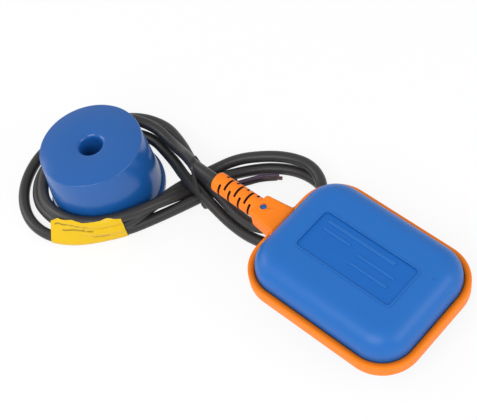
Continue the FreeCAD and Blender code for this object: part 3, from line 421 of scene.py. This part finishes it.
# The sleeve is drawn ring by ring from the shoulder to the collar, then its slots are pressed in:
# rows open to both sides and rows open above and below take turns
stations = [(-BLOCK_END + SLEEVE_ROOT, SLEEVE_START - SLEEVE_TUCK)]
for row in range(SLOT_ROWS):
    middle = FIRST_SLOT + row * SLOT_PITCH
    for edge in (middle - SLOT_WIDTH / 2, middle + SLOT_WIDTH / 2):
        share = (edge - BLOCK_END) / (BOOT_TIP - BLOCK_END)
        stations.append((-edge, SLEEVE_START + (SLEEVE_END - SLEEVE_START) * share))
stations += [
    (-BOOT_TIP + COLLAR, SLEEVE_END + COLLAR_SWELL),
    (-BOOT_TIP + TIP_ROUND, SLEEVE_END),
    (-BOOT_TIP, SLEEVE_END - TIP_DROP),
]
bpy.ops.object.select_all(action="DESELECT")
bpy.ops.mesh.primitive_circle_add(
    vertices=48, radius=stations[0][1], fill_type="NGON", location=(stations[0][0], 0, 0),
    rotation=(0, math.radians(90), 0),
)
sleeve = bpy.context.object
sleeve.name = "boot_sleeve"
sleeve.data.materials.append(orange)
# The second material is a dark brown painted shade for the faces deep in the slots
sleeve.data.materials.append(moulded("painted_slot_shade", (74, 34, 20), 0.7, spread=0.1))
bpy.ops.object.transform_apply(location=True, rotation=True, scale=True)
start_edit(sleeve)
bpy.ops.mesh.select_all(action="SELECT")
for (before, small), (after, large) in zip(stations, stations[1:]):
    bpy.ops.mesh.extrude_region_move(TRANSFORM_OT_translate={"value": (after - before, 0, 0)})
    growth = large / small
    bpy.ops.transform.resize(value=(1, growth, growth), center_override=(after, 0, 0))
bpy.ops.object.mode_set(mode="OBJECT")


def in_slot(middle, normal):
    """A face of the sleeve's wall that a slot takes away."""
    row = round((-middle.x - FIRST_SLOT) / SLOT_PITCH)
    off_middle = abs(-middle.x - FIRST_SLOT - row * SLOT_PITCH)
    if not 0 <= row < SLOT_ROWS or off_middle > SLOT_WIDTH / 4 or abs(normal.x) > 0.5:
        return False
    turn = math.degrees(math.atan2(middle.z, middle.y)) % 180
    return abs(turn - 90) < TOP_SLOT if row % 2 else min(turn, 180 - turn) < SIDE_SLOT


start_edit(sleeve)
pick(sleeve, in_slot)
bpy.ops.mesh.extrude_region_move(TRANSFORM_OT_translate={"value": (0, 0, 0)})
shape = bmesh.from_edit_mesh(sleeve.data)
for vertex in shape.verts:
    if vertex.select:
        share = SLOT_CORE / math.hypot(vertex.co.y, vertex.co.z)
        vertex.co.y *= share
        vertex.co.z *= share
# Faces nearer the sleeve's axis than SLOT_SHADE take the dark brown painted shade
for face in shape.faces:
    middle = face.calc_center_median()
    face.material_index = 1 if math.hypot(middle.y, middle.z) < SLOT_SHADE else 0
bmesh.update_edit_mesh(sleeve.data)
bpy.ops.mesh.select_all(action="SELECT")
bpy.ops.mesh.normals_make_consistent(inside=False)
bpy.ops.object.mode_set(mode="OBJECT")
soften(sleeve, 0.00025, segments=2, angle=35)
overmould = join("rim_and_cable_boot", [rim, boot, sleeve])
settle(overmould, FLOAT_FRAME, orange)
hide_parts("rim_and_boot")

# Inside the float: a white polypropylene capsule with its lid screws, seals and grommet, and the
# rubber stop. These keep their shape as modelled, and so do the microswitch and the ball.
rubber = moulded("black_rubber", (28, 28, 28), 0.6)
finish(rubber, "joint_seal", "capsule_gasket", "cable_grommet", "ball_stop")
finish(moulded("white_capsule", (232, 232, 226), 0.4), "capsule_base", "capsule_lid", "cable_clamp")
case_black = moulded("black_case", (36, 36, 38), 0.4)
finish(case_black, "switch_case", "switch_cover", "switch_plunger")
steel = moulded("bright_steel", (190, 190, 192), 0.25, metal=1.0)
finish(steel, "capsule_screws", "switch_screws", "switch_lever", "lever_pin", "track_ball")
brass = moulded("spring_brass", (204, 170, 96), 0.3, metal=1.0)
finish(brass, "terminal_common", "terminal_open", "terminal_closed", "contact_blade")

# The cable: 7 mm black sheathed flex, 1.36 m of it free. It leaves the boot, goes round behind the
# counterweight, and lies in a tied figure of eight that ends stripped inside the loop by the float.
CABLE_SIZE = 0.007
CABLE_ROUTE = [
    (-0.0262, 0.0120, 0.0291), (-0.0367, 0.0120, 0.0298), (-0.0485, 0.0138, 0.0270),
    (-0.0580, 0.0172, 0.0242), (-0.0665, 0.0202, 0.0195), (-0.0779, 0.0232, 0.0156),
    (-0.0991, 0.0280, 0.0140), (-0.1210, 0.0231, 0.0142), (-0.1365, 0.0061, 0.0118),
    (-0.1430, -0.0145, 0.0107), (-0.1385, -0.0350, 0.0096), (-0.1264, -0.0495, 0.0102),
    (-0.1099, -0.0569, 0.0147), (-0.0910, -0.0572, 0.0175), (-0.0742, -0.0488, 0.0177),
    (-0.0621, -0.0342, 0.0179), (-0.0547, -0.0110, 0.0130), (-0.0509, 0.0086, 0.0049),
    (-0.0437, 0.0246, 0.0048), (-0.0335, 0.0395, 0.0037), (-0.0210, 0.0510, 0.0037),
    (-0.0055, 0.0580, 0.0037), (0.0115, 0.0582, 0.0037), (0.0250, 0.0504, 0.0037),
    (0.0327, 0.0360, 0.0037), (0.0309, 0.0200, 0.0037), (0.0195, 0.0078, 0.0037),
    (0.0040, 0.0036, 0.0037), (-0.0125, 0.0038, 0.0042), (-0.0270, 0.0052, 0.0084),
    (-0.0410, 0.0072, 0.0124), (-0.0560, 0.0100, 0.0128), (-0.0690, 0.0150, 0.0115),
    (-0.0815, 0.0192, 0.0080), (-0.0991, 0.0236, 0.0066), (-0.1194, 0.0190, 0.0048),
    (-0.1365, 0.0061, 0.0037), (-0.1459, -0.0142, 0.0037), (-0.1439, -0.0372, 0.0037),
    (-0.1301, -0.0535, 0.0038), (-0.1105, -0.0589, 0.0070), (-0.0908, -0.0578, 0.0103),
    (-0.0738, -0.0494, 0.0106), (-0.0617, -0.0344, 0.0104), (-0.0604, -0.0125, 0.0080),
    (-0.0585, 0.0085, 0.0049), (-0.0507, 0.0266, 0.0050), (-0.0411, 0.0404, 0.0090),
    (-0.0267, 0.0514, 0.0109), (-0.0139, 0.0590, 0.0107), (-0.0001, 0.0620, 0.0106),
    (0.0132, 0.0574, 0.0108), (0.0224, 0.0470, 0.0109), (0.0248, 0.0332, 0.0109),
    (0.0200, 0.0200, 0.0109), (0.0093, 0.0098, 0.0106), (-0.0040, 0.0072, 0.0106),
    (-0.0245, 0.0112, 0.0118), (-0.0405, 0.0148, 0.0122), (-0.0550, 0.0182, 0.0126),
    (-0.0680, 0.0244, 0.0122), (-0.0790, 0.0292, 0.0112), (-0.0973, 0.0344, 0.0098),
    (-0.1191, 0.0304, 0.0080), (-0.1380, 0.0183, 0.0037), (-0.1518, 0.0000, 0.0037),
    (-0.1561, -0.0231, 0.0037), (-0.1501, -0.0431, 0.0037), (-0.1389, -0.0578, 0.0037),
    (-0.1221, -0.0676, 0.0038), (-0.1032, -0.0686, 0.0037), (-0.0866, -0.0605, 0.0036),
    (-0.0741, -0.0479, 0.0036), (-0.0639, -0.0350, 0.0037), (-0.0583, -0.0249, 0.0039),
    (-0.0499, -0.0083, 0.0045), (-0.0423, 0.0090, 0.0049), (-0.0361, 0.0206, 0.0046),
    (-0.0309, 0.0290, 0.0037),
]


def nurbs(name, points, radius, material):
    """A round drawn piece whose line is a smooth spline through its control points."""
    line = bpy.data.curves.new(name, "CURVE")
    line.dimensions = "3D"
    spline = line.splines.new("NURBS")
    spline.points.add(len(points) - 1)
    for point, place in zip(spline.points, points):
        point.co = (*place, 1)
    spline.order_u = 3
    spline.use_endpoint_u = True
    line.resolution_u = 10
    line.bevel_depth = radius
    line.bevel_resolution = 6
    line.use_fill_caps = True
    made = bpy.data.objects.new(name, line)
    bpy.context.scene.collection.objects.link(made)
    if material is not None:
        line.materials.append(material)
    return made


sheath = moulded("black_sheath", (44, 43, 44), 0.40, spread=0.10, patch=60, grain=1600, depth=0.00003)
flex = nurbs("sheathed_flex", CABLE_ROUTE, CABLE_SIZE / 2, sheath)
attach(flex, BODY)
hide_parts("cable")
finish(sheath, "cable_inside")

# The free end: three insulated cores come out of the stripped sheath and lie close together. The
# same three run inside the capsule from the clamp to the microswitch.
CORE_SIZE = 0.0023
CORES = {
    "brown": (92, 58, 54),
    "blue": (70, 52, 76),
    "black": (42, 36, 38),
}
sheath_tip, sheath_before = Vector(CABLE_ROUTE[-1]), Vector(CABLE_ROUTE[-2])
sheath_way = (sheath_tip - sheath_before).normalized()
side_way = sheath_way.cross(Vector((0, 0, 1))).normalized()
up_way = side_way.cross(sheath_way)
CORE_RING = 0.00138
CORE_INSIDE, CORE_STRAIGHT = 0.002, 0.006
# Each core's turn round the sheath's line and the last two points of its route
CORE_ENDS = {
    "brown": (210, [(-0.0202, 0.0436, 0.0022), (-0.0125, 0.0490, 0.0014)]),
    "blue": (90, [(-0.0211, 0.0418, 0.0056), (-0.0133, 0.0478, 0.0052)]),
    "black": (330, [(-0.0217, 0.0413, 0.0018), (-0.0150, 0.0468, 0.0013)]),
}
for core, (turn, ends) in CORE_ENDS.items():
    angle = math.radians(turn)
    root = sheath_tip + side_way * (CORE_RING * math.cos(angle)) + up_way * (CORE_RING * math.sin(angle))
    route = [root - sheath_way * CORE_INSIDE, root + sheath_way * CORE_STRAIGHT, *ends]
    insulation = moulded(f"{core}_insulation", CORES[core], 0.35, spread=0.08)
    wire = nurbs(f"{core}_core_end", route, CORE_SIZE / 2, insulation)
    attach(wire, BODY)
    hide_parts(f"end_core_{core}")
    finish(insulation, f"inner_core_{core}")

# Cable tie: one thin black nylon strap drawn tight round the crossing strands. Its small head and
# cut tail sit low on the camera's side, where the strap is pulled aside.
TIE_MIDDLE = Vector((-0.0476, 0.0134, 0))
TIE_TURN = math.radians(37.0)
TIE_WIDTH = 0.0020
TIE_THICK = 0.0009
TIE_SLANT = 0.0056
SLANT_START, SLANT_RUN, SLANT_HEIGHT = 0.004, 0.012, 0.030
HEAD_PLACE, HEAD_SIZE = (-0.0134, 0.0048, 0), (0.0032, 0.0046, 0.0042)
TAIL_PLACE, TAIL_SIZE = (-0.0142, 0.0034, 0.0014), (0.0016, 0.0012, 0.0060)
# The strap's loop round the strands: how far across them, away from the camera, and how high
TIE_OUTLINE = [
    (-0.0082, 0.0007), (0.0002, 0.0006), (0.0092, 0.0008), (0.0126, 0.0024), (0.0138, 0.0052),
    (0.0118, 0.0122), (0.0092, 0.0192), (0.0068, 0.0266), (0.0052, 0.0296), (0.0006, 0.0312),
    (-0.0038, 0.0300), (-0.0058, 0.0272), (-0.0088, 0.0204), (-0.0120, 0.0140), (-0.0130, 0.0104),
    (-0.0124, 0.0036), (-0.0112, 0.0016),
]
tie_black = moulded("black_strap", (30, 30, 32), 0.35, spread=0.08)
tie_line = nurbs("tie_line", [(u, z, 0) for u, z in TIE_OUTLINE], 0, None)
tie_line.data.splines[0].use_endpoint_u = False
tie_line.data.splines[0].use_cyclic_u = True
bpy.context.view_layer.update()
strap_mesh = bpy.data.meshes.new_from_object(tie_line)
bpy.data.objects.remove(tie_line)
strap = bpy.data.objects.new("cable_tie_strap", strap_mesh)
bpy.context.scene.collection.objects.link(strap)
start_edit(strap)
bpy.ops.mesh.select_mode(type="EDGE")
bpy.ops.mesh.select_all(action="SELECT")
bpy.ops.mesh.extrude_region_move(TRANSFORM_OT_translate={"value": (0, 0, TIE_WIDTH)})
bpy.ops.mesh.select_all(action="SELECT")
bpy.ops.transform.translate(value=(0, 0, -TIE_WIDTH / 2))
bpy.ops.mesh.normals_make_consistent(inside=False)
bpy.ops.object.mode_set(mode="OBJECT")
wall = strap.modifiers.new("wall", "SOLIDIFY")
wall.thickness = TIE_THICK
wall.offset = 0
apply_all(strap)
soften(strap, 0.0002, segments=2)
head = block("tie_head", HEAD_PLACE, HEAD_SIZE)
soften(head, 0.0006, segments=3)
tail = block("tie_tail", TAIL_PLACE, TAIL_SIZE)
soften(tail, 0.0003, segments=2)
tie = join("cable_tie_strap", [strap, head, tail])
for vertex in tie.data.vertices:
    near_share = min(1.0, max(0.0, (SLANT_START - vertex.co.x) / SLANT_RUN))
    vertex.co.z += TIE_SLANT * near_share * max(0.0, 1 - vertex.co.y / SLANT_HEIGHT) ** 1.4
tie_frame = Matrix.Translation(TIE_MIDDLE) @ Matrix((
    (-math.sin(TIE_TURN), 0, math.cos(TIE_TURN), 0),
    (math.cos(TIE_TURN), 0, math.sin(TIE_TURN), 0),
    (0, 1, 0, 0),
    (0, 0, 0, 1),
))
settle(tie, tie_frame, tie_black)
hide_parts("cable_tie")

# Wrapped label: a yellow printed film folded round the outer strand, its two ends stuck together
# as a flag that leans on the next strands. The print is left as plain faint bars.
LABEL_START, LABEL_END = 0.1196, 0.0735
LABEL_LEANS = (math.radians(60), math.radians(88))
LABEL_THICK = 0.00022
# The flag's height at shares of the label's length
LABEL_TAILS = ((0.0, 0.0120), (0.15, 0.0155), (0.38, 0.0186), (0.55, 0.0180), (0.8, 0.0170), (1.0, 0.0150))
FILM_GAP = 0.0004
STRAND_ROOM = CABLE_SIZE / 2 + 0.0005
ROOM_STEP = 0.0002
OWN_STRAND = 0.06
FLAG_SHARE, WRAP_SHARE = 0.4, 0.8
WRAP_TURN = math.radians(250)
BACK_INSET, BACK_HEIGHT = 0.0006, 0.98
FLAG_FOOT, FLAG_REACH = 0.003, 0.008
FLAG_WAVE, FLAG_RIPPLE, FLAG_CURL = 0.0004, 0.0002, 0.0009
flex_line = flex.copy()
flex_line.data = flex.data.copy()
flex_line.data.bevel_depth = 0
bpy.context.scene.collection.objects.link(flex_line)
bpy.context.view_layer.update()
line_mesh = bpy.data.meshes.new_from_object(flex_line)
line_points = [vertex.co.copy() for vertex in line_mesh.vertices]
bpy.data.objects.remove(flex_line)
bpy.data.meshes.remove(line_mesh)

# The strands beside the labelled one, so that the flag can rest on them
far_points = []
reach = 0.0
for after, before in zip(reversed(line_points), reversed(line_points[:-1])):
    reach += (after - before).length
    if reach > LABEL_START + OWN_STRAND:
        far_points.append(before)
others = kdtree.KDTree(len(far_points))
for number, point in enumerate(far_points):
    others.insert(point, number)
others.balance()


def from_tip(reach):
    """Place and heading on the flex's line, as far back from its stripped end as asked."""
    left = reach
    for after, before in zip(reversed(line_points), reversed(line_points[:-1])):
        step = (after - before).length
        if step >= left:
            return after + (before - after) * (left / step), (after - before).normalized()
        left -= step
    raise ValueError("past the start of the flex")


def label_tail(along):
    """How far the flag stands off the strand at a share of its length."""
    for (start, low), (end, high) in zip(LABEL_TAILS, LABEL_TAILS[1:]):
        if along <= end:
            share = (along - start) / (end - start)
            return low + (high - low) * share * share * (3 - 2 * share)
    return LABEL_TAILS[-1][1]


def label_section(share, tail, lean):
    """A point of the film's section, inward of and above the strand's middle: from the flag's edge
    down round the strand and back up to the flag."""
    hug = CABLE_SIZE / 2 + FILM_GAP
    way = Vector((math.cos(lean), math.sin(lean)))
    side = Vector((-math.sin(lean), math.cos(lean)))
    if share < FLAG_SHARE:
        return side * hug + way * (tail * (1 - share / FLAG_SHARE))
    if share < WRAP_SHARE:
        angle = lean + math.pi / 2 + (share - FLAG_SHARE) / (WRAP_SHARE - FLAG_SHARE) * WRAP_TURN
        return Vector((math.cos(angle), math.sin(angle))) * hug
    last = lean + math.pi / 2 + WRAP_TURN
    foot = Vector((math.cos(last), math.sin(last))) * hug
    top = side * (hug - BACK_INSET) + way * (tail * BACK_HEIGHT)
    return foot + (top - foot) * ((share - WRAP_SHARE) / (1 - WRAP_SHARE))


bpy.ops.object.select_all(action="DESELECT")
bpy.ops.mesh.primitive_grid_add(x_subdivisions=36, y_subdivisions=40, size=1)
film = bpy.context.object
film.name = film.data.name = "wrapped_label"
for vertex in film.data.vertices:
    along, round_share = vertex.co.x + 0.5, vertex.co.y + 0.5
    place, heading = from_tip(LABEL_START + (LABEL_END - LABEL_START) * along)
    inward = Vector((0, 0, 1)).cross(heading).normalized()
    lean = LABEL_LEANS[0] + (LABEL_LEANS[1] - LABEL_LEANS[0]) * along
    aside, height = label_section(round_share, label_tail(along), lean)
    free = max(0.0, height - FLAG_FOOT) / FLAG_REACH
    wave = (FLAG_WAVE * math.sin(9 * along + 1) + FLAG_RIPPLE * math.sin(23 * along)) * free
    curl = FLAG_CURL * math.sin(2.2 + 5.5 * along) * free
    spot = place + inward * (aside + wave) + Vector((0, 0, height + curl))
    if not FLAG_SHARE <= round_share <= WRAP_SHARE:
        while others.find(spot)[2] < STRAND_ROOM:
            spot -= inward * ROOM_STEP
    vertex.co = spot
start_edit(film)
bpy.ops.mesh.select_all(action="SELECT")
bpy.ops.mesh.normals_make_consistent(inside=False)
bpy.ops.object.mode_set(mode="OBJECT")
wall = film.modifiers.new("wall", "SOLIDIFY")
wall.thickness = LABEL_THICK
wall.offset = 0
apply_all(film)
yellow = moulded("yellow_film", (230, 188, 4), 0.38, spread=0.03, coat=0.1, shine=0.3)

# Plain bars in place of the print: start and end along the film, then from its flag's edge down
PRINT_BARS = [
    (0.06, 0.56, 0.07, 0.10),
    (0.18, 0.60, 0.17, 0.20),
    (0.56, 0.80, 0.26, 0.28),
    (0.58, 0.78, 0.32, 0.34),
]
PRINT_STRENGTH = 0.55
PRINT_COLOUR = (70, 52, 20)
tree = yellow.node_tree
shader = next(node for node in tree.nodes if node.type == "BSDF_PRINCIPLED")
bare_film = shader.inputs["Base Color"].links[0].from_socket
place_on_film = tree.nodes.new("ShaderNodeSeparateXYZ")
tree.links.new(tree.nodes.new("ShaderNodeUVMap").outputs["UV"], place_on_film.inputs["Vector"])


def compare(operation, first, second):
    """One math node of the print; its second value is a number or another node's result."""
    node = tree.nodes.new("ShaderNodeMath")
    node.operation = operation
    tree.links.new(first, node.inputs[0])
    if isinstance(second, float):
        node.inputs[1].default_value = second
    else:
        tree.links.new(second, node.inputs[1])
    return node.outputs[0]


ink = None
for left, right, top, low in PRINT_BARS:
    across = compare("GREATER_THAN", place_on_film.outputs["X"], left)
    across = compare("MULTIPLY", across, compare("LESS_THAN", place_on_film.outputs["X"], right))
    down = compare("GREATER_THAN", place_on_film.outputs["Y"], top)
    down = compare("MULTIPLY", down, compare("LESS_THAN", place_on_film.outputs["Y"], low))
    bar = compare("MULTIPLY", across, down)
    ink = bar if ink is None else compare("MAXIMUM", ink, bar)
ink = compare("MULTIPLY", ink, PRINT_STRENGTH)
printed = tree.nodes.new("ShaderNodeMix")
printed.data_type = "RGBA"
tree.links.new(ink, printed.inputs["Factor"])
tree.links.new(bare_film, printed.inputs["A"])
printed.inputs["B"].default_value = (*linear(PRINT_COLOUR), 1)
tree.links.new(printed.outputs["Result"], shader.inputs["Base Color"])
settle(film, Matrix.Identity(4), yellow)
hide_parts("cable_label")

# Counterweight: a glossy blue moulded cup with a bore tube for the cable, filled with cement and
# closed by a flanged base. It stands on its flange.
WEIGHT_MIDDLE = Vector((-0.0990945, -0.0191, 0))
WEIGHT_FOOT, WEIGHT_TOP = 0.0030, 0.0450
WEIGHT_ROOT = 0.0349
WEIGHT_BORE = 0.0070
WEIGHT_WALL = 0.0020
# Radius and height round the cup's wall: up its outside, over the top, down the bore and back inside
WEIGHT_SECTION = [
    (WEIGHT_ROOT, WEIGHT_FOOT), (0.0317, 0.0440), (0.0315, 0.0446), (0.0309, WEIGHT_TOP),
    (0.0098, WEIGHT_TOP), (0.0086, 0.0447), (0.0076, 0.0439), (0.0071, 0.0428),
    (WEIGHT_BORE, 0.0414), (WEIGHT_BORE, WEIGHT_FOOT), (WEIGHT_BORE + WEIGHT_WALL, WEIGHT_FOOT),
    (WEIGHT_BORE + WEIGHT_WALL, WEIGHT_TOP - WEIGHT_WALL), (0.0296, WEIGHT_TOP - WEIGHT_WALL),
    (WEIGHT_ROOT - WEIGHT_WALL, WEIGHT_FOOT),
]
weight_blue = moulded("weight_gloss_blue", (26, 90, 164), 0.22, spread=0.03, patch=25, grain=500, shine=0.5)
finish(weight_blue, "weight_base")
bpy.ops.object.select_all(action="DESELECT")
bpy.ops.mesh.primitive_circle_add(vertices=len(WEIGHT_SECTION), radius=WEIGHT_BORE)
cup = bpy.context.object
cup.name = cup.data.name = "counterweight_cup"
for vertex, (radius, height) in zip(cup.data.vertices, WEIGHT_SECTION):
    vertex.co = (radius, 0, height)
start_edit(cup)
bpy.ops.mesh.select_mode(type="EDGE")
bpy.ops.mesh.select_all(action="SELECT")
bpy.ops.mesh.spin(steps=128, angle=math.tau, center=(0, 0, 0), axis=(0, 0, 1))
bpy.ops.mesh.select_all(action="SELECT")
bpy.ops.mesh.remove_doubles(threshold=0.00001)
bpy.ops.mesh.normals_make_consistent(inside=False)
bpy.ops.object.mode_set(mode="OBJECT")
settle(cup, Matrix.Translation(WEIGHT_MIDDLE), weight_blue)
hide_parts("weight_shell")
cement = moulded("gray_cement", (150, 148, 142), 0.9, spread=0.15, grain=400, depth=0.0003)
finish(cement, "weight_ballast")
